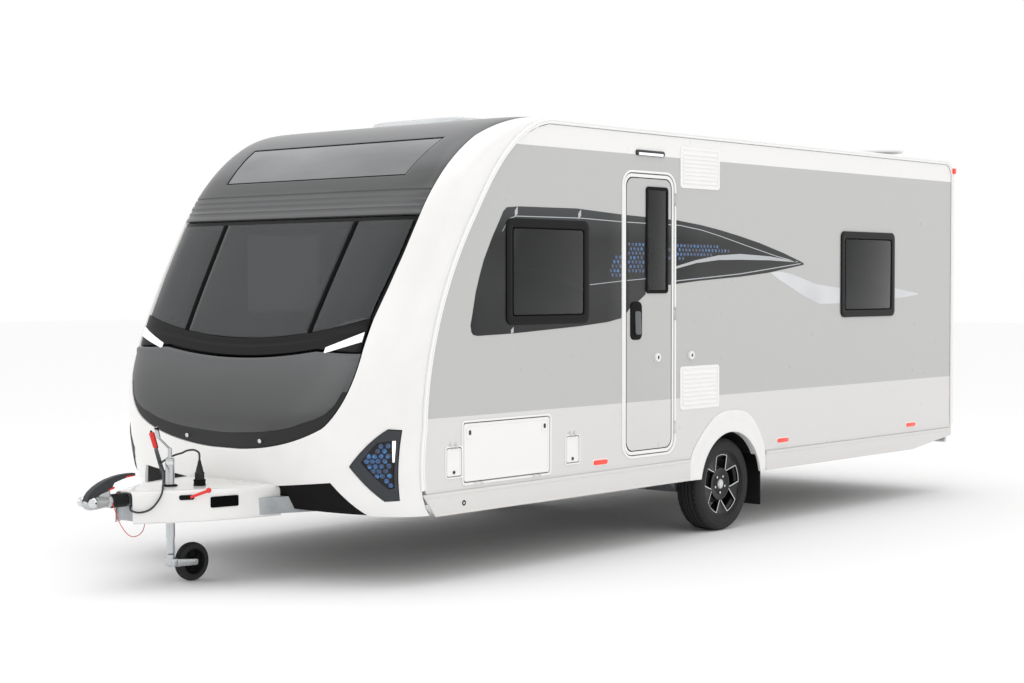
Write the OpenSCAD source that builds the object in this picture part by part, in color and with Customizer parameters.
// Single-axle touring caravan, parked on its two road wheels and its jockey wheel.
// The tow end faces -Y, the entrance door is on the +X (near) side and z = 0 is the ground.
// The origin is on the ground under the middle of the overall box.

/* [Body shell] */
// Width over the side walls
body_w = 2230; // [1900:5:2500]
// Height of the roof edge above the ground
roof_z = 2545; // [2300:5:2700]
// Rise of the roof at its middle
roof_crown = 17; // [5:1:30]
// Foremost point of the nose, from the origin
nose_y = -2730; // [-3000:5:-2400]
// Rearmost point of the rear panel, from the origin
rear_y = 3677; // [3100:1:4300]
// Depth of the rear panel's bow between its corners
rear_bow = 37; // [10:1:60]
// Radius of the corner between roof and rear panel
rear_corner_r = 120; // [60:5:160]
// Thickness of the side walls
wall_t = 28; // [20:1:40]
// Thickness of the front, roof and rear shells
shell_t = 24; // [18:1:30]
// Underside of the floor above the ground
floor_z = 480; // [440:5:500]
// Thickness of the floor
floor_t = 40; // [30:1:50]

/* [Nose panels] */
// Width of the gas locker lid at its top edge
lid_w = 1880; // [1500:10:2000]
// Gap round the lid
lid_gap = 9; // [7:0.5:12]
// Width of the middle front pane at its foot
mid_pane_w = 1024; // [800:4:1200]
// Width of the black pillars between the front panes
pillar_w = 22; // [14:1:40]
// Width of the black band round the front panes
pane_band = 28; // [18:1:45]
// Thickness of the glazing
glass_t = 6; // [4:1:10]
// Width of the skylight in the dark upper panel
skylight_w = 1560; // [900:10:1640]

/* [Door] */
// Front edge of the entrance opening
door_y = -554; // [-700:1:-300]
// Width of the entrance opening
door_w = 521; // [440:1:700]
// Sill of the entrance opening above the ground
door_z = 564; // [540:1:620]
// Height of the entrance opening
door_h = 1716; // [1500:1:1780]
// Gap round each door and flap
leaf_gap = 5.2; // [5:0.1:8]
// How far a hinge line stands off the wall's face
hinge_out = 8; // [6:0.5:12]

/* [Windows and hatches] */
// Front edges of the side windows
window_y = [-1630, 1968]; // [-2500:1:3400]
// Widths of the side windows
window_w = [738, 762]; // [300:1:900]
// Sill height of the side windows
window_z = 1376; // [1200:1:1500]
// Height of the side windows
window_h = 600; // [300:1:700]
// How far a window laps over its opening
window_lap = 32; // [15:1:45]
// Front edge of the storage locker opening
locker_y = -1985; // [-2050:1:-1800]
// Width of the storage locker opening
locker_w = 735; // [400:1:800]
// Sill height of the storage locker opening
locker_z = 527; // [525:1:600]
// Height of the storage locker opening
locker_h = 327; // [200:1:420]
// Front edges of the two service flaps
flap_y = [-2121, -1102]; // [-2180:1:0]
// Width of a service flap's recess
flap_w = 122; // [80:1:122]
// Sill height of a service flap's recess
flap_z = 566; // [520:1:700]
// Height of a service flap's recess
flap_h = 160; // [100:1:220]
// Thickness of a service flap
flap_t = 10; // [6:1:14]

/* [Road wheels] */
// Axle line, from the origin
axle_y = 585; // [300:5:900]
// Tyre diameter
tyre_d = 604; // [540:2:640]
// Tyre width
tyre_w = 185; // [145:5:205]
// Rim diameter at the bead seat
rim_d = 384; // [330:2:410]
// Outer face of the tyre inside the wall's face
tyre_inset = 40; // [25:1:70]
// Radius of the stub axle
stub_r = 17; // [14:0.5:22]
// Radial running clearance of a pin or shaft
run_clear = 0.05; // [0.02:0.01:0.1]
// Radius of the wheel opening in the wall
arch_r = 345; // [335:1:365]

/* [Tow end] */
// Ball centre, from the origin
ball_y = -3622; // [-3800:1:-3500]
// Height of the ball centre
ball_z = 480; // [430:1:500]
// Radius of the ball socket
socket_r = 25.2; // [25.1:0.05:25.5]
// Jockey tube axis, from the origin
jockey_y = -3095; // [-3150:1:-3050]
// Outer radius of the jockey's outer tube
jockey_r = 24; // [20:1:30]
// Radius of the jockey wheel
jockey_wheel_r = 105; // [80:1:110]
// Trail of the jockey wheel behind its tube
jockey_trail = 143; // [130:1:160]

/* [Hidden] */
$fn = 48;
half_w = body_w / 2;
in_x = half_w - wall_t; // inner face of a side wall
seat = 0.3; // gap between a fitted piece and what carries it
up = roof_z / 2545; // how tall the body is beside its drawn curves
eps = 0.01;

// ---------- the body's outer skin ----------
// The skin is one surface of x and s. As s runs from 0 to 6 it climbs the nose, crosses the roof
// and goes down the rear panel. Each whole step of s is one Bezier curve in the side view,
// drawn once for the middle of the body and once for its side edge, as [y, z].
function pt(back, height) = [nose_y + back, height * up];
function straight(p, q) = [p, p + (q - p) / 3, p + (q - p) * 2 / 3, q];
function quarter(p, q) = [p, [p.x + 0.5523 * (q.x - p.x), p.y], [q.x, q.y + 0.5523 * (p.y - q.y)], q];
mid_top = roof_z + roof_crown;
edge_rear_y = rear_y - rear_bow;
mid_front = pt(1348, 0).x;
edge_front = pt(1480, 0).x;
mid_turn = [edge_rear_y - rear_corner_r, mid_top];
edge_turn = [edge_rear_y - rear_corner_r, roof_z];
turn_end_z = roof_z - rear_corner_r;
rear_foot_z = 430;
mid_curves = [
    [pt(130, 385), pt(70, 480), pt(0, 680), pt(0, 850)],
    [pt(0, 850), pt(0, 1080), pt(280, 1560), pt(515, 1985)],
    [pt(515, 1985), pt(635, 2205), pt(930, 2530), [mid_front, mid_top]],
    straight([mid_front, mid_top], mid_turn),
    quarter(mid_turn, [rear_y, turn_end_z]),
    straight([rear_y, turn_end_z], [rear_y, rear_foot_z])];
edge_curves = [
    [pt(480, 375), pt(390, 470), pt(410, 700), pt(435, 850)],
    [pt(435, 850), pt(440, 1180), pt(560, 1600), pt(825, 1985)],
    [pt(825, 1985), pt(940, 2160), pt(1140, 2500), [edge_front, roof_z]],
    straight([edge_front, roof_z], edge_turn),
    quarter(edge_turn, [edge_rear_y, turn_end_z]),
    straight([edge_rear_y, turn_end_z], [edge_rear_y, rear_foot_z])];
function bezier(p, t) = pow(1 - t, 3) * p[0] + 3 * pow(1 - t, 2) * t * p[1]
    + 3 * (1 - t) * t * t * p[2] + pow(t, 3) * p[3];
function along(curves, s) = let(k = min(floor(s), len(curves) - 1)) bezier(curves[k], s - k);
// Across the body the skin stays near the middle curve and bends to the edge curve at the sides.
function squareness(s) = lookup(s, [[0, 5.5], [1, 5.5], [1.5, 11], [2, 12]]);
function fullness(x, s) = sqrt(max(0, 1 - pow(min(abs(x) / half_w, 1), squareness(s))));
function inward(s) = let(
    a = along(mid_curves, max(s - 0.01, 0)),
    b = along(mid_curves, min(s + 0.01, 6)),
    t = (b - a) / norm(b - a)) [t.y, -t.x];
// A point of the skin, moved depth into the body.
function skin(x, s, depth = 0) = let(
    e = along(edge_curves, s),
    m = along(mid_curves, s),
    p = e + (m - e) * fullness(x, s) + depth * inward(s)) [x * (1 - depth / half_w), p.x, p.y];
function steps(a, b, n) = [for (k = [0 : n]) a + (b - a) * k / n];
function flat_list(lists) = [for (l = lists) each l];

// A closed shell of the skin between two depths. rows lists s, cols(s) gives the x values of a row,
// and keep(i, j) says whether the cell between rows i, i + 1 and columns j, j + 1 is there.
module skin_shell(rows, cols, outer, inner, keep = function(i, j) true) {
    nr = len(rows);
    nc = len(cols(rows[0]));
    points = [for (d = [outer, inner], s = rows, x = cols(s)) skin(x, s, d)];
    at = function(i, j, layer = 0) (layer * nr + i) * nc + j;
    there = function(i, j) i >= 0 && j >= 0 && i < nr - 1 && j < nc - 1 && keep(i, j);
    quad = function(a, b, c, d) [[a, b, c], [a, c, d]];
    wall = function(i1, j1, i2, j2) quad(at(i1, j1), at(i2, j2), at(i2, j2, 1), at(i1, j1, 1));
    polyhedron(points, [for (i = [0 : nr - 2], j = [0 : nc - 2]) if (keep(i, j)) each concat(
        quad(at(i, j), at(i + 1, j), at(i + 1, j + 1), at(i, j + 1)),
        quad(at(i, j + 1, 1), at(i + 1, j + 1, 1), at(i + 1, j, 1), at(i, j, 1)),
        there(i - 1, j) ? [] : wall(i, j, i, j + 1),
        there(i + 1, j) ? [] : wall(i + 1, j + 1, i + 1, j),
        there(i, j - 1) ? [] : wall(i + 1, j, i, j),
        there(i, j + 1) ? [] : wall(i, j + 1, i + 1, j + 1))], convexity = 10);
}

// ---------- the nose's panel lines ----------
lid_foot_s = 0.72;
lid_top_s = 1.42;
lid_notch = 120; // half width of the straight part of the lid's foot
s_gap = 0.0008; // a seat gap, counted in s
s_per_mm = 1 / 640; // how far s moves for a millimetre up the nose
lid_bow = 2.174; // how square the lid's outline is
function lid_edge(s, gap) = let(fall = (lid_top_s - s) / (lid_top_s - lid_foot_s - gap * s_per_mm))
    (lid_w / 2 - gap) * sqrt(max(0, 1 - pow(min(max(fall, 0), 1), lid_bow)));
// Half the width of the dark front, from the lid's foot to the roof.
function dark_edge(s) = s <= lid_top_s ? max(lid_notch, lid_edge(s, 0))
    : half_w - lookup(s, [[1.42, half_w - lid_w / 2], [1.56, 169], [1.69, 150], [1.83, 137], [2, 130],
        [2.4, 127], [2.65, 120], [2.88, 75], [3, 55]]);
// Rows of s that follow the lid's rounded foot with even steps of angle.
function lid_rows(gap, top) = let(
    drop = lid_top_s - lid_foot_s - gap * s_per_mm,
    first = asin(lid_notch / (lid_w / 2 - gap)))
    [for (a = steps(first, 90, 9)) let(s = lid_top_s - drop * pow(cos(a), 2 / lid_bow)) if (s < top) s];
function pillar_x(s) = mid_pane_w / 2 + 40 * (s - lid_top_s) / (2 - lid_top_s);
// Columns from the dark front's edge to the side, closer together towards the side.
side_steps = [for (k = [0 : 8]) 1 - pow(1 - k / 8, 2)];
function side_cols(s) = let(e = dark_edge(s))
    concat([for (k = [8 : -1 : 0]) -e - (half_w - e) * side_steps[k]],
        [for (k = [0 : 8]) e + (half_w - e) * side_steps[k]]);

sky_foot_s = 2.31;
sky_head_s = 2.64;
upper_rows = concat([2.1, 2.2], steps(sky_foot_s, sky_head_s, 4), [2.78, 2.92]);
module front_moulding() color("#f2f1f0") {
    rows = concat([0.02, 0.15, 0.3, 0.45, 0.6], lid_rows(0, lid_top_s - 0.02), [lid_top_s],
        steps(1.5, 2, 5), upper_rows, [3]);
    difference() {
        skin_shell(rows, function(s) side_cols(s), 0, shell_t,
            function(i, j) j != 8 || rows[i + 1] <= lid_rows(0, 3)[0] + eps);
        plan(concat([for (p = cover_side) p + [seat, 0]], [[cover_side[4].x + seat, nose_y + 300]]),
            cover_foot - 50, cover_top + seat);
        drawbar(seat);
    }
}

module front_locker_lid() color("#505050") {
    skin_shell(concat(lid_rows(lid_gap, 1.3), [1.33, lid_top_s - 0.012]),
        function(s) [for (u = [-1, -0.96, -0.88, -0.75, -0.55, -0.3, 0, 0.3, 0.55, 0.75, 0.88, 0.96, 1])
            u * max(lid_notch - lid_gap, lid_edge(s, lid_gap))], 0, 20);
    at_lid_hinges() difference() {
        union() {
            rotate([0, 90, 0]) cylinder(r = knuckle_r, h = lid_knuckle_l, center = true);
            translate([-lid_knuckle_l / 2, -2, -32]) cube([lid_knuckle_l, 14, 32]);
        }
        rotate([0, 90, 0]) cylinder(r = hinge_pin_r + run_clear, h = 2 * lid_knuckle_l, center = true);
    }
}

// The lid turns on two pins in front of its top edge. Ears on the window frame hold them.
lid_hinge_yz = [-2618, 1250];
lid_hinge_x = 430;
lid_knuckle_l = 50;
module at_lid_hinges() for (s = [-1, 1]) translate([s * lid_hinge_x, lid_hinge_yz.x, lid_hinge_yz.y]) children();
module lid_ears() at_lid_hinges() {
    rotate([0, 90, 0]) cylinder(r = hinge_pin_r, h = lid_knuckle_l + 24, center = true);
    for (s = [-1, 1]) translate([s * (lid_knuckle_l / 2 + 12) - 6, -5, -3]) cube([12, 30, 14]);
}

function frame_cols(s) = let(
    e = dark_edge(s) - 1.5,
    p = pillar_x(s),
    w = pillar_w / 2,
    right = concat([p - w], steps(p + w, e - pane_band, 4), [e]))
    concat([for (k = [len(right) - 1 : -1 : 0]) -right[k]], [-p / 2, 0, p / 2], right);
frame_depth = 2; // how far the black frame lies under the skin
pane_foot_s = 1.52;
pane_head_s = 1.965;
module front_window_frame() color("#1d1e20") {
    rows = concat([lid_top_s, 1.47], steps(pane_foot_s, pane_head_s, 6), [2 - s_gap]);
    n = len(frame_cols(lid_top_s));
    skin_shell(rows, function(s) frame_cols(s), frame_depth, 20, function(i, j)
        i < 2 || i == len(rows) - 2 || j == 0 || j == n - 2 || j == 5 || j == n - 7);
    lid_ears();
}

module front_windows() color("#55595c", 0.6) {
    rows = steps(pane_foot_s + s_gap, pane_head_s - s_gap, 6);
    inner = function(s) pillar_x(s) - pillar_w / 2 - seat;
    outer = function(s) steps(pillar_x(s) + pillar_w / 2 + seat, dark_edge(s) - 1.5 - pane_band - seat, 4);
    skin_shell(rows, function(s) steps(-inner(s), inner(s), 4), 6, 6 + glass_t);
    skin_shell(rows, function(s) outer(s), 6, 6 + glass_t);
    skin_shell(rows, function(s) [for (k = [4 : -1 : 0]) -outer(s)[k]], 6, 6 + glass_t);
}

module front_upper_panel() color("#5c5c5c") {
    rows = concat([2 + s_gap], upper_rows, [3 - s_gap]);
    skin_shell(rows, function(s) let(e = dark_edge(s) - 1.5, k = skylight_w / 2)
        concat([-e, -e + 60, -e + 150], steps(-k, k, 4), [e - 150, e - 60, e]), 0, shell_t,
        function(i, j) i < 3 || i > 6 || j < 3 || j > 6);
}

module front_skylight() color("#6d7173", 0.6)
    skin_shell(steps(sky_foot_s + s_gap, sky_head_s - s_gap, 4),
        function(s) steps(-skylight_w / 2 + seat, skylight_w / 2 - seat, 4), 3, 3 + glass_t);

// ---------- roof, rear and side walls ----------
rooflight_y = [-1235, 1500];
rooflight_l = [900, 420];
rooflight_w = [800, 420];
rooflight_lap = 50;
function roof_s(y) = 3 + (y - mid_front) / (mid_turn.x - mid_front);
shell_cols = let(a = [for (u = steps(0, 1, 6)) half_w * (1 - 0.2 * pow(1 - u, 2))])
    concat([for (k = [6 : -1 : 0]) -a[k]],
        [-rooflight_w[0] / 2, -rooflight_w[1] / 2, rooflight_w[1] / 2, rooflight_w[0] / 2], a);
module roof_panel() color("#f4f4f3") {
    holes = [for (k = [0, 1]) each [roof_s(rooflight_y[k]), roof_s(rooflight_y[k] + rooflight_l[k])]];
    skin_shell(concat([3 + s_gap], holes, steps(4, 5, 6)), function(s) shell_cols, 0, shell_t,
        function(i, j) !(i == 1 && j >= 7 && j <= 9) && !(i == 3 && j == 8));
}

module rear_panel() color("#f1f0ef")
    skin_shell([5 + s_gap, 5.5, 6], function(s) shell_cols, 0, shell_t);

// Puts a drawing of [y, z] into the side view, from x0 to x0 + t.
module side_view(x0, t) translate([x0, 0, 0]) rotate([90, 0, 90]) linear_extrude(t) children();
module both_sides() {
    children();
    mirror([1, 0, 0]) children();
}
// A rectangle with round corners, as points.
function round_rect(y, z, w, h, r) = [for (c = [[w - r, h - r, 0], [r, h - r, 90], [r, r, 180], [w - r, r, 270]],
    a = steps(0, 90, 5)) [y + c[0] + r * cos(c[2] + a), z + c[1] + r * sin(c[2] + a)]];

wall_seat = 2; // wider than seat, because the shells are made of flat facets
wall_rows = concat([0.05, 0.1, 0.15], steps(0.2, 3, 24), [3.5], steps(4, 5, 8));
function wall_outline() = let(
    edge = [for (s = wall_rows) let(p = skin(half_w, s, shell_t + wall_seat)) [p.y, p.z]],
    pts = [for (p = edge) if (p.y > floor_z + 5) p],
    under = [for (p = edge) if (p.y <= floor_z + 5) p],
    foot = len(under) > 0 ? under[len(under) - 1].x : pts[0].x,
    last = pts[len(pts) - 1])
    concat([[max(foot, pts[0].x), floor_z]], pts, [[last.x, floor_z]]);
arch_z = tyre_d / 2;

module window_hole(k) translate([0, 0]) polygon(round_rect(window_y[k] + window_lap, window_z + window_lap,
    window_w[k] - 2 * window_lap, window_h - 2 * window_lap, 55));

module wall_blank() difference() {
    polygon(wall_outline());
    for (k = [0, 1]) window_hole(k);
    translate([axle_y, arch_z]) circle(arch_r);
}

jamb_gap = 5; // from a hinge axis to the edge of its opening
module door_hinges() for (z = [150, door_h / 2, door_h - 150])
    translate([half_w + hinge_out, door_y + door_w + jamb_gap, door_z + z]) children();
module locker_hinges() for (y = [120, locker_w - 120])
    translate([half_w + hinge_out, locker_y + y, locker_z - jamb_gap]) rotate([-90, 0, 0]) children();
module flap_hinge(k) translate([half_w + hinge_out, flap_y[k] + flap_w / 2, flap_z + flap_h + jamb_gap])
    rotate([90, 0, 0]) children();

module flap_recess(k) translate([half_w - flap_t - 4, flap_y[k], flap_z]) cube([flap_t + 10, flap_w, flap_h]);

module nearside_wall() color("#c9cacb") {
    difference() {
        side_view(in_x, wall_t) difference() {
            wall_blank();
            polygon(round_rect(door_y, door_z, door_w, door_h, 85));
            polygon(round_rect(locker_y, locker_z, locker_w, locker_h, 20));
        }
        for (k = [0, 1]) flap_recess(k);
    }
    door_hinges() wall_hinge(50, 24);
    locker_hinges() wall_hinge(40, 9);
    for (k = [0, 1]) flap_hinge(k) wall_hinge(30, 20);
}

offside_window_y = 480; // the kitchen window on the side away from the door
offside_window_w = 700;
module offside_wall() color("#c9cacb") side_view(-half_w, wall_t) difference() {
    wall_blank();
    polygon(round_rect(offside_window_y + window_lap, window_z + 120 + window_lap,
        offside_window_w - 2 * window_lap, window_h - 120 - 2 * window_lap, 55));
}

module side_pane(y, z, w, h) side_view(half_w + seat, 10) polygon(round_rect(y, z, w, h, 45));
module nearside_windows() color("#4d4f52", 0.6) for (k = [0, 1])
    side_pane(window_y[k], window_z, window_w[k], window_h);
module offside_windows() color("#4d4f52", 0.6) mirror([1, 0, 0]) {
    for (k = [0, 1]) side_pane(window_y[k], window_z, window_w[k], window_h);
    side_pane(offside_window_y, window_z + 120, offside_window_w, window_h - 120);
}

floor_s = 0.2 * (floor_z / up - 385) / 95; // where the floor's foot meets the nose
module floor_panel() color("#3b3a38") difference() {
    front = [for (x = shell_cols) let(p = skin(x, floor_s, wall_t + 0.4)) [p.x, p.y]];
    translate([0, 0, floor_z]) linear_extrude(floor_t)
        polygon(concat(front, [[in_x - seat, edge_rear_y - 30], [-in_x + seat, edge_rear_y - 30]]));
    both_sides() translate([box_in_x - seat, axle_y, arch_z]) rotate([0, 90, 0]) cylinder(r = box_r + seat, h = 400);
}

box_r = arch_r + 35;
box_in_x = half_w - tyre_inset - tyre_w - 30;
module wheel_boxes() color("#2b2b2c") both_sides() difference() {
    translate([box_in_x, axle_y, arch_z]) rotate([0, 90, 0]) cylinder(r = box_r, h = in_x - seat - box_in_x);
    translate([box_in_x + 6, axle_y, arch_z]) rotate([0, 90, 0]) cylinder(r = box_r - 6, h = 400);
    translate([0, axle_y - 500, -100]) cube([2000, 1000, floor_z + 100]);
}

// ---------- trim on the side walls ----------
trim_t = 12;
rail_t = 14;
rail_out = 9;
rail_in = 24;
rail_foot_z = 508;
rail_line = [for (s = concat(steps(0.3, 3, 27), [3.5], steps(4, 5, 8), [5.5, 5.96]))
    let(p = along(edge_curves, s)) if (p.y > rail_foot_z) p];
function side_normal(k) = let(
    a = rail_line[max(k - 1, 0)],
    b = rail_line[min(k + 1, len(rail_line) - 1)],
    t = (b - a) / norm(b - a)) [t.y, -t.x];
function rail_edge(d) = [for (k = [0 : len(rail_line) - 1]) rail_line[k] + d * side_normal(k)];
module awning_rails() color("#f5f5f5") both_sides() side_view(half_w + seat, rail_t) {
    inner = rail_edge(rail_in);
    polygon(concat(rail_edge(-rail_out), [for (k = [len(inner) - 1 : -1 : 0]) inner[k]]));
}

skirt_top = 501;
skirt_foot = 365;
spat_y0 = axle_y - 450;
spat_y1 = axle_y + 420;
module side_skirts() color("#ececec") both_sides() side_view(half_w + seat, trim_t) {
    front = skin(half_w, 0.3).y;
    difference() {
        polygon([[front, skirt_top - 12], [front + 96, skirt_foot], [spat_y0 - 2, skirt_foot],
            [spat_y0 - 2, skirt_top]]);
        translate([front + 316, skirt_foot + 56]) circle(16);
    }
    polygon([[spat_y1 + 2, skirt_foot], [rear_y - 655, skirt_foot], [edge_rear_y - 20, skirt_foot + 69],
        [edge_rear_y - 20, skirt_top - 9], [spat_y1 + 2, skirt_top - 9]]);
}

module wheel_spats() color("#efefee") both_sides() side_view(half_w + seat, 20) difference() {
    polygon([[spat_y0, skirt_foot], [spat_y0, 469], [axle_y - 401, 567], [axle_y - 287, 677],
        [axle_y - 158, 760], [axle_y - 28, 787], [axle_y + 150, 776], [axle_y + 255, 728],
        [axle_y + 340, 640], [axle_y + 400, 540], [spat_y1, 469], [spat_y1, skirt_foot]]);
    translate([axle_y, arch_z]) circle(arch_r);
}

module louvre_vent(y, z, w, h) {
    side_view(half_w + seat, 4) polygon(round_rect(y, z, w, h, 20));
    for (k = [0 : 6]) side_view(half_w + seat, 10) translate([y + 24, z + 24 + k * (h - 48) / 7])
        square([w - 48, (h - 48) / 14]);
}
module side_vents() color("#f0f0f0") {
    louvre_vent(30, 816, 427, 274);
    louvre_vent(30, 2200, 427, 262);
}

module marker_lamps() color("#ff3b1f") both_sides() {
    for (y = [nose_y + 1888, 1160, rear_y - 732]) side_view(half_w + seat, 10)
        polygon(round_rect(y, 535, 130, 30, 12));
    translate([half_w + rail_t + seat * 2, edge_rear_y - 30, roof_z - 70]) rotate([0, 90, 0]) cylinder(r = 22, h = 14);
}

// ---------- chassis, axle and wheels ----------
beam_x = half_w - 555;
beam_top = floor_z;
beam_foot = floor_z - 140;
nose_join_y = nose_y + 480; // where the drawbar meets the body
tow_join_y = jockey_y - 285; // where the two drawbar members meet
module beam(p, q, w, z0, z1) let(d = q - p) translate([p.x, p.y, z0]) rotate(atan2(d.y, d.x))
    translate([0, -w / 2, 0]) cube([norm(d), w, z1 - z0]);
drawbar_foot = beam_foot + 30;
tow_block_y = tow_join_y - 10; // front face of the block that holds the overrun tube
// The two drawbar members that meet at the tow end, each grown by d all round.
module drawbar(d) both_sides() beam([beam_x, nose_join_y + 20], [55, tow_join_y], 50 + 2 * d,
    drawbar_foot - d, beam_top - 20 + d);
module chassis_frame() color("#8d9296") {
    both_sides() beam([beam_x, nose_join_y], [beam_x, rear_y - 500], 40, beam_foot, beam_top);
    for (y = [nose_join_y + 60, axle_y - 600, axle_y + 500, rear_y - 560])
        beam([-beam_x, y], [beam_x, y], 50, beam_foot + 40, beam_top);
    difference() {
        drawbar(0);
        translate([0, jockey_y, 0]) cylinder(r = jockey_r + 6, h = 1000);
    }
    translate([-62, tow_block_y, drawbar_foot]) cube([124, 130, 90]);
    translate([-40, tow_block_y, ball_z - 40]) cube([80, 130, 80]);
}

hub_r = 26;
wheel_x = half_w - tyre_inset - tyre_w / 2;
tube_y = axle_y - 150;
tube_z = beam_foot - 48;
arm_x = box_in_x - 50;
module axle_tube() color("#9aa0a4") {
    translate([-arm_x + 22, tube_y, tube_z]) rotate([0, 90, 0]) rotate(30) cylinder(r = 52, h = 2 * arm_x - 44, $fn = 6);
    both_sides() difference() {
        translate([beam_x - 45, tube_y - 70, tube_z - 40]) cube([90, 140, floor_z - tube_z + 40]);
        translate([beam_x - 20 - seat, tube_y - 100, beam_foot - seat]) cube([40 + 2 * seat, 200, 400]);
    }
}

module suspension_arms() color("#6f7478") both_sides() {
    side_view(arm_x - 22 + seat, 30) hull_bar([tube_y, tube_z], 48, [axle_y, arch_z], 34);
    translate([arm_x, axle_y, arch_z]) rotate([0, 90, 0]) cylinder(r = stub_r, h = wheel_x - arm_x + 30);
    damper(arm_x - 60);
}
// A bar with round ends between two [y, z] points, from tangent lines and arcs.
module hull_bar(p, r1, q, r2) {
    d = q - p;
    lean = acos((r1 - r2) / norm(d));
    turn = atan2(d.y, d.x);
    polygon(concat([for (a = steps(turn + lean, turn + 360 - lean, 10)) p + r1 * [cos(a), sin(a)]],
        [for (a = steps(turn - lean, turn + lean, 8)) q + r2 * [cos(a), sin(a)]]));
}
// The damper stands on the arm and leans back so that it passes clear of the axle tube.
module damper(x) {
    foot = [axle_y - 60, tube_z + 0.6 * (arch_z - tube_z) + 26];
    reach = foot - [tube_y, tube_z];
    lean = atan2(reach.y, reach.x) + acos(80.6 / norm(reach));
    translate([x + 30, foot.x, foot.y]) rotate([0, 90, 0]) cylinder(r = 9, h = 30);
    translate([x + 30, foot.x, foot.y]) rotate([lean, 0, 0]) translate([0, 0, -12]) cylinder(r = 17, h = 190);
}

module tyre(x) translate([x, axle_y, arch_z]) rotate([0, 90, 0]) {
    r = tyre_d / 2;
    bead = rim_d / 2 + seat;
    w = tyre_w / 2;
    k = (tyre_d - rim_d) / 220; // how tall the tyre's section is beside its drawn profile
    rotate_extrude() polygon([[bead, -w + 14], [bead + 22 * k, -w + 6], [bead + 55 * k, -w], [r - 30 * k, -w + 3],
        [r - 9 * k, -w + 14], [r - 2 * k, -w + 26], [r, -w + 40], [r, w - 40], [r - 2 * k, w - 26],
        [r - 9 * k, w - 14], [r - 30 * k, w - 3], [bead + 55 * k, w], [bead + 22 * k, w - 6], [bead, w - 14],
        [bead, w - 26], [bead + 60 * k, w - 14], [r - 16 * k, w - 34], [r - 16 * k, -w + 34],
        [bead + 60 * k, -w + 14], [bead, -w + 26]]);
}
module rim(x) translate([x, axle_y, arch_z]) rotate([0, 90, 0]) difference() {
    r = rim_d / 2;
    w = tyre_w / 2 - 12;
    union() {
        difference() {
            cylinder(r = r, h = 2 * w, center = true);
            translate([0, 0, -w - 1]) cylinder(r = r - 10, h = 2 * w + 2);
        }
        translate([0, 0, w - 46]) cylinder(r = 62, h = 40);
        for (k = [0 : 4], side = [-1, 1]) rotate(72 * k + side * 13) translate([30, -11, w - 34]) cube([r - 36, 22, 24]);
        translate([0, 0, -58]) cylinder(r = 128, h = 62);
        translate([0, 0, 0]) cylinder(r = 62, h = w - 20);
    }
    translate([0, 0, -100]) cylinder(r = stub_r + run_clear, h = 131);
}
module nearside_tyre() color("#3a3a3a") tyre(wheel_x);
module nearside_rim() color("#26282a") rim(wheel_x);
module offside_tyre() color("#3a3a3a") mirror([1, 0, 0]) tyre(wheel_x);
module offside_rim() color("#26282a") mirror([1, 0, 0]) rim(wheel_x);

module mudflaps() color("#1c1c1c") both_sides()
    translate([wheel_x - 80, axle_y + arch_r + 80, 130]) cube([170, 6, floor_z - 130]);

// ---------- tow end ----------
cover_top = 526;
cover_foot = 355;
cover_t = 6;
cover_side = [[75, -3400], [200, -3200], [285, -3050], [330, -2900], [372, -2640]];
function shrink(pts, d) = [for (p = pts) [p.x - d, p.y]];
module plan(pts, z0, z1) translate([0, 0, z0]) linear_extrude(z1 - z0)
    polygon(concat(pts, [for (k = [len(pts) - 1 : -1 : 0]) [-pts[k].x, pts[k].y]]));
module drawbar_cover() color("#eeeeee") difference() {
    plan(cover_side, cover_foot, cover_top);
    plan(concat([shrink(cover_side, cover_t)[0] + [0, -50]], shrink(cover_side, cover_t), [[366, -2600]]),
        cover_foot - 1, cover_top - cover_t);
    translate([0, jockey_y, 0]) cylinder(r = jockey_r + 5, h = 1000);
    drawbar(seat);
}

tube_r = 25;
module coupling_head() color("#8f959a") difference() {
    union() {
        translate([0, ball_y + 10, ball_z - 24]) rotate([0, 0, 0]) cylinder(r = 42, h = 50);
        translate([-39, ball_y + 10, ball_z - 24]) cube([78, 90, 50]);
        translate([0, ball_y + 60, ball_z]) rotate([-90, 0, 0]) cylinder(r = 34, h = 70);
        translate([0, ball_y + 100, ball_z]) rotate([-90, 0, 0]) cylinder(r = tube_r, h = tow_block_y - seat - ball_y - 100);
        for (s = [-1, 1]) translate([s * 40, ball_y - 5, ball_z + 6]) rotate([0, s * 90, 0]) cylinder(r = 27, h = 30);
        side_view(-24, 48) polygon([[ball_y - 26, ball_z + 20], [ball_y + 10, ball_z + 66], [ball_y + 90, ball_z + 108],
            [ball_y + 190, ball_z + 130], [ball_y + 290, ball_z + 138], [ball_y + 290, ball_z + 118],
            [ball_y + 200, ball_z + 98], [ball_y + 190, ball_z + 58], [ball_y + 110, ball_z + 48],
            [ball_y + 60, ball_z + 20]]);
    }
    translate([0, ball_y, ball_z - 30]) cylinder(r = socket_r, h = 30);
}

bellows_y = ball_y + 132;
bellows_l = tow_block_y - 2 * seat - bellows_y;
module overrun_bellows() color("#1b1b1b") translate([0, bellows_y, ball_z]) rotate([-90, 0, 0])
    rotate_extrude() polygon(concat([[tube_r + run_clear, 0]],
        [for (k = [0 : 4]) each [[31, k * bellows_l / 5.2], [38, (k + 0.5) * bellows_l / 5.2]]],
        [[34, bellows_l], [tube_r + run_clear, bellows_l]]));

module handbrake_lever() color("#505458") {
    side_view(-67, 14) hull_bar([jockey_y + 18, cover_top + 11 + seat], 11, [jockey_y - 48, cover_top + 206], 9);
    translate([-60, jockey_y - 48, cover_top + 204]) rotate([18, 0, 0]) cylinder(r = 15, h = 94);
}

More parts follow.
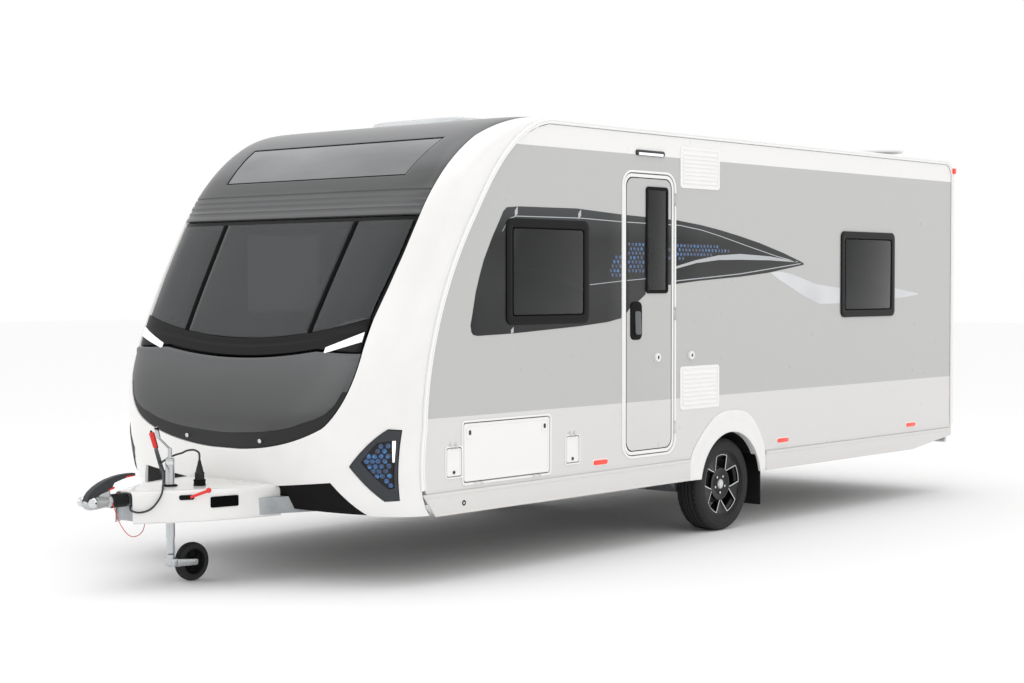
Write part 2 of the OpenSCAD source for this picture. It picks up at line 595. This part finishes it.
jockey_foot_z = 250;
jockey_top_z = 675;
stem_r = jockey_r - 3;
module jockey_tube() color("#b5babd") {
    difference() {
        translate([0, jockey_y, jockey_foot_z]) cylinder(r = jockey_r, h = jockey_top_z - jockey_foot_z);
        translate([0, jockey_y, jockey_foot_z - 1]) cylinder(r = stem_r + run_clear, h = jockey_top_z - jockey_foot_z - 8);
    }
    translate([0, jockey_y, jockey_top_z - 4]) cylinder(r = 11, h = 60);
    translate([0, jockey_y, jockey_top_z + 50]) rotate([49, 0, 0]) cylinder(r = 6, h = 110);
    translate([0, jockey_y - 76, jockey_top_z + 116]) rotate([15, 0, 0]) cylinder(r = 11, h = 62);
    difference() {
        translate([-185, jockey_y - 34, beam_top - 80]) cube([370, 68, 56]);
        translate([0, jockey_y, 300]) cylinder(r = jockey_r - 1, h = 300);
        drawbar(seat);
    }
}

fork_head_z = 165;
module jockey_stem() color("#a9aeb2") translate([0, jockey_y, fork_head_z + seat])
    cylinder(r = stem_r, h = 400);
module jockey_fork() color("#8a8f93") {
    difference() {
        union() {
            translate([0, jockey_y, 92]) cylinder(r = stem_r, h = fork_head_z - 92);
            translate([-39, jockey_y - 10, 92]) cube([78, 30, 50]);
            for (s = [-1, 1]) side_view(s * 36 - 3, 6) hull_bar([jockey_y + 12, jockey_wheel_r + 8], 22,
                [jockey_y + jockey_trail, jockey_wheel_r], 17);
            translate([-45, jockey_y + jockey_trail, jockey_wheel_r]) rotate([0, 90, 0]) cylinder(r = 8, h = 90);
        }
    }
}
module jockey_wheel() color("#3c3c3e") translate([0, jockey_y + jockey_trail, jockey_wheel_r]) rotate([0, 90, 0])
    difference() {
        rotate_extrude() polygon([[0, -28], [70, -28], [74, -24], [jockey_wheel_r - 10, -26], [jockey_wheel_r, -17],
            [jockey_wheel_r, 17], [jockey_wheel_r - 10, 26], [74, 24], [70, 28], [0, 28]]);
        cylinder(r = 8 + run_clear, h = 100, center = true);
    }

// ---------- the lead and the cable at the tow end ----------
plug_at = [100, -2975];
module plug_holder() color("#202022") translate([plug_at.x, plug_at.y, cover_top + seat]) difference() {
    cylinder(r = 34, h = 34);
    translate([0, 0, 6]) cylinder(r = 26 + seat, h = 60);
}
plug_top_z = cover_top + 138;
module towing_plug() color("#262628") translate([plug_at.x, plug_at.y, 0]) {
    translate([0, 0, cover_top + 8]) cylinder(r = 26, h = 62);
    translate([0, 0, cover_top + 70]) cylinder(r1 = 22, r2 = 8, h = plug_top_z - cover_top - 70);
}

// A tube swept along points, with n sides.
function unit(v) = v / norm(v);
module tube(path, r, n) {
    last = len(path) - 1;
    rings = [for (k = [0 : last]) let(
        t = unit(path[min(k + 1, last)] - path[max(k - 1, 0)]),
        u = unit(cross(t, [1, 0.2, 0.1])),
        v = cross(t, u)) for (a = [0 : n - 1]) path[k] + r * (cos(a * 360 / n) * u + sin(a * 360 / n) * v)];
    polyhedron(rings, concat([[for (a = [0 : n - 1]) a]], [[for (a = [n - 1 : -1 : 0]) last * n + a]],
        [for (k = [0 : last - 1], a = [0 : n - 1]) let(b = (a + 1) % n) each
            [[k * n + a, k * n + n + a, k * n + n + b], [k * n + a, k * n + n + b, k * n + b]]]));
}
// A smooth curve through hand-picked points, with m steps between each pair.
function smooth(p, m) = let(n = len(p)) concat([for (k = [0 : n - 2], j = [0 : m - 1]) let(
    a = p[max(k - 1, 0)], b = p[k], c = p[k + 1], d = p[min(k + 2, n - 1)], t = j / m)
    0.5 * (2 * b + (c - a) * t + (2 * a - 5 * b + 4 * c - d) * t * t + (3 * b - a - 3 * c + d) * t * t * t)],
    [p[n - 1]]);
lead_route = [[52, tow_block_y - 1, 452], [53, tow_block_y - 9, 450], [70, -3412, 440], [86, -3417, 430], [101, -3387, 419], [124, -3352, 424],
    [142, -3325, 442], [158, -3303, 474], [170, -3286, 513], [158, -3268, 556], [60, -3188, 604],
    [-34, -3136, 640], [-42, -3085, 668], [-8, -3052, 690], [40, -3045, 703], [64, -3030, 716],
    [84, -3002, 719], [97, -2980, 706], [100, -2975, plug_top_z + 24], [100, -2975, plug_top_z + 12],
    [100, -2975, plug_top_z + 0.6]];
module towing_lead() color("#2a2a2c") tube(smooth(lead_route, 5), 5.5, 8);
cable_route = [[37.5, -3505, 480], [56, -3496, 430], [66, -3474, 365], [60, -3430, 312], [45, -3380, 287],
    [28, -3330, 288], [14, -3290, 306], [6, -3272, 338], [4, -3270, 370]];
module breakaway_cable() color("#d23a2a") tube(smooth(cable_route, 5), 2.2, 8);

// ---------- pieces on the nose ----------
// A pair of plates that lie on the skin between two s values and two x values, from depth a to depth b.
module nose_plates(s0, s1, x0, x1, a, b) both_sides()
    skin_shell(steps(s0, s1, 4), function(s) steps(x0, x1, 5), a, b);
module front_lamps() color("#f4f6f8") nose_plates(1.43, 1.465, lid_w / 2 - 240, lid_w / 2 - 15, -4, frame_depth - 0.8);
module corner_bezels() color("#2c3036") both_sides()
    skin_shell(steps(0.26, 0.98, 6), function(s) let(c = 1 - abs(s - 0.62) / 0.38)
        steps(half_w - 43 - 165 * max(c, 0), half_w - 17, 8), -7, -2.4);
module bumper_insets() color("#141414") nose_plates(0.06, 0.4, half_w - 695, half_w - 255, -4, -0.8);

// ---------- roof and rear ----------
module rooflights() color("#f5f5f4") for (k = [0, 1])
    translate([-rooflight_w[k] / 2 - rooflight_lap, rooflight_y[k] - rooflight_lap, mid_top + seat]) difference() {
        translate([0, 0, 0]) cube([rooflight_w[k] + 2 * rooflight_lap, rooflight_l[k] + 2 * rooflight_lap, 62 - 12 * k]);
        translate([rooflight_lap, rooflight_lap, -1])
            cube([rooflight_w[k], rooflight_l[k], 62 - 12 * k - 10]);
    }
module aerial_dome() color("#f2f2f2") translate([half_w - 315, 3080, mid_top + seat]) {
    cylinder(r = 60, h = 35);
    translate([0, 0, 35]) cylinder(r1 = 165, r2 = 175, h = 25);
    translate([0, 0, 60]) cylinder(r1 = 175, r2 = 70, h = 40);
}
module rear_bumper() color("#e9e9e9") translate([-half_w + 40, edge_rear_y - 12, rear_foot_z - 56 - seat])
    cube([body_w - 80, 28, 56]);
module rear_lamps() color("#b3201c") both_sides()
    skin_shell(steps(5.62, 5.93, 2), function(s) steps(half_w - 235, half_w - 75, 3), -12, -0.7);

// ---------- corner steadies ----------
steady_x = half_w - 355;
steady_len = 540;
steady_pivot_z = floor_z - 55;
steady_front_y = nose_y + 1270;
steady_rear_y = rear_y - 820;
pin_r = 8;
module steady_bracket(x, y, dir) translate([x, y, 0]) {
    for (s = [-1, 1]) translate([s * 42 - 3, -30, steady_pivot_z - 20]) cube([6, 60, floor_z - steady_pivot_z + 20]);
    translate([-45, -30, floor_z - 6]) cube([90, 60, 6]);
    translate([-44, 0, steady_pivot_z]) rotate([0, 90, 0]) cylinder(r = pin_r, h = 88);
    translate([0, dir * 30, floor_z - 18]) rotate([dir * -90, 0, 0]) cylinder(r = 9, h = steady_len - 60);
    translate([-14, dir * (steady_len - 60) - 10, floor_z - 30]) cube([28, 20, 30]);
}
module steady_brackets() color("#9ba0a3") both_sides() {
    steady_bracket(steady_x, steady_front_y, -1);
    steady_bracket(steady_x, steady_rear_y, 1);
}
module steady_leg(x, y, dir) color("#aeb3b6") translate([x, y, steady_pivot_z]) difference() {
    union() {
        for (s = [-1, 1]) translate([s * 33 - 2, min(0, dir * steady_len), -16]) cube([4, steady_len, 32]);
        translate([-35, dir > 0 ? 60 : -steady_len, -16]) cube([70, steady_len - 60, 4]);
        for (s = [-1, 1]) translate([s * 33 - 2, 0, 0]) rotate([0, 90, 0]) cylinder(r = 16, h = 4);
        translate([-55, dir > 0 ? steady_len - 70 : -steady_len - 30, -26]) cube([110, 100, 10]);
    }
    rotate([0, 90, 0]) cylinder(r = pin_r + run_clear, h = 200, center = true);
}
module steady_leg_front_near() steady_leg(steady_x, steady_front_y, -1);
module steady_leg_front_off() steady_leg(-steady_x, steady_front_y, -1);
module steady_leg_rear_near() steady_leg(steady_x, steady_rear_y, 1);
module steady_leg_rear_off() steady_leg(-steady_x, steady_rear_y, 1);

// ---------- doors and flaps ----------
// Each hinge turns about its own Z. The wall's face is hinge_out behind the axis in X, the leaf lies
// towards -Y and the fixed wall towards +Y.
knuckle_r = 6;
hinge_pin_r = 3;
leaf_back = jamb_gap + leaf_gap; // from the axis to the leaf's edge
module leaf_hinge(l) difference() {
    union() {
        cylinder(r = knuckle_r, h = l, center = true);
        translate([-3, -leaf_back - 1, -l / 2]) cube([6, leaf_back + 1, l]);
        translate([-hinge_out, -leaf_back - 26, -l / 2]) cube([hinge_out - 2, 26, l]);
    }
    cylinder(r = hinge_pin_r + run_clear, h = 2 * l, center = true);
}
module wall_hinge(l, foot) {
    cylinder(r = hinge_pin_r, h = l + 24, center = true);
    for (s = [-1, 1]) translate([0, 0, s * (l / 2 + 7) - 6.5]) {
        cylinder(r = knuckle_r, h = 13);
        translate([-hinge_out - 1, 0, 0]) cube([hinge_out + 1, foot, 13]);
    }
}
leaf_y = door_y + leaf_gap;
leaf_w = door_w - 2 * leaf_gap;
pane_y = door_y + 224;
pane_w = 226;
pane_z = door_z + 986;
pane_h = 650;
module door_panel() color("#f0f0ef") {
    side_view(in_x, wall_t) difference() {
        polygon(round_rect(leaf_y, door_z + leaf_gap, leaf_w, door_h - 2 * leaf_gap, 80));
        polygon(round_rect(pane_y + 15, pane_z + 15, pane_w - 30, pane_h - 30, 20));
    }
    side_view(half_w - 2, 22) polygon(round_rect(leaf_y + 28, door_z + 712, 90, 220, 30));
    door_hinges() leaf_hinge(50);
}
module door_window() color("#303234", 0.7) side_view(half_w + seat, 8)
    polygon(round_rect(pane_y, pane_z, pane_w, pane_h, 25));

module storage_locker_door() color("#f0f0ef") {
    side_view(in_x + 8, wall_t - 8) polygon(round_rect(locker_y + leaf_gap, locker_z + leaf_gap,
        locker_w - 2 * leaf_gap, locker_h - 2 * leaf_gap, 16));
    locker_hinges() leaf_hinge(40);
}
module service_flap(k) color("#f0f0ef") {
    side_view(half_w - flap_t, flap_t) polygon(round_rect(flap_y[k] + leaf_gap, flap_z + leaf_gap,
        flap_w - 2 * leaf_gap, flap_h - 2 * leaf_gap, 12));
    flap_hinge(k) leaf_hinge(30);
}
module service_flap_front() service_flap(0);
module service_flap_rear() service_flap(1);

// ---------- inside ----------
floor_top = floor_z + floor_t;
module gas_locker_tub() color("#3a3a3a") translate([-780, nose_y + 260, floor_top + seat]) difference() {
    cube([1560, 400, 690]);
    translate([6, -1, 6]) cube([1548, 395, 678]);
}

seat_in = 520;
seat_y0 = nose_y + 680;
seat_l = 1380;
seat_h = 330;
board_t = 15;
module lounge_seat() translate([seat_in, seat_y0, floor_top + seat]) difference() {
    cube([in_x - seat_in - seat, seat_l, seat_h]);
    translate([board_t, board_t, board_t]) cube([in_x, seat_l - 2 * board_t, seat_h - 2 * board_t]);
}
module kitchen_block(y, l, depth, h) difference() {
    translate([in_x - seat - depth, y, floor_top + seat]) cube([depth, l, h]);
    translate([box_in_x - 2, axle_y, arch_z]) rotate([0, 90, 0]) cylinder(r = box_r + 2, h = 500);
}
module interior_furniture() color("#a98f6d") {
    lounge_seat();
    mirror([1, 0, 0]) lounge_seat();
    kitchen_block(60, 900, 380, 860);
    mirror([1, 0, 0]) kitchen_block(-400, 1560, 560, 860);
    translate([-in_x + seat, 1760, floor_top + seat]) difference() {
        cube([2 * in_x - 2 * seat, 25, 1960]);
        translate([900, -1, -1]) cube([560, 30, 1900]);
    }
    translate([-300, 2200, floor_top + seat]) cube([in_x + 300 - seat, 1380, 360]);
}
cushion_t = 130;
module lounge_cushions() color("#b9b2a6") {
    for (m = [0, 1]) mirror([m, 0, 0]) {
        translate([seat_in + 10, seat_y0 + 10, floor_top + seat * 2 + seat_h])
            cube([in_x - seat_in - 20 - 140, seat_l - 20, cushion_t]);
        translate([in_x - 138, seat_y0 + 10, floor_top + seat * 2 + seat_h])
            cube([128, seat_l - 20, 440]);
    }
    translate([-290, 2210, floor_top + seat * 2 + 360]) cube([in_x + 280, 1360, 150]);
}

chassis_frame();
floor_panel();
nearside_wall();
offside_wall();
roof_panel();
rear_panel();
front_moulding();
front_upper_panel();
front_skylight();
front_window_frame();
front_windows();
nearside_windows();
offside_windows();
awning_rails();
side_skirts();
wheel_spats();
wheel_boxes();
drawbar_cover();
coupling_head();
overrun_bellows();
axle_tube();
suspension_arms();
mudflaps();
rooflights();
aerial_dome();
rear_bumper();
rear_lamps();
marker_lamps();
front_lamps();
corner_bezels();
bumper_insets();
side_vents();
handbrake_lever();
jockey_tube();
plug_holder();
towing_plug();
towing_lead();
breakaway_cable();
steady_brackets();
gas_locker_tub();
interior_furniture();
lounge_cushions();
nearside_tyre();
nearside_rim();
offside_tyre();
offside_rim();
jockey_stem();
jockey_fork();
jockey_wheel();
door_panel();
door_window();
front_locker_lid();
storage_locker_door();
service_flap_front();
service_flap_rear();
steady_leg_front_near();
steady_leg_front_off();
steady_leg_rear_near();
steady_leg_rear_off();
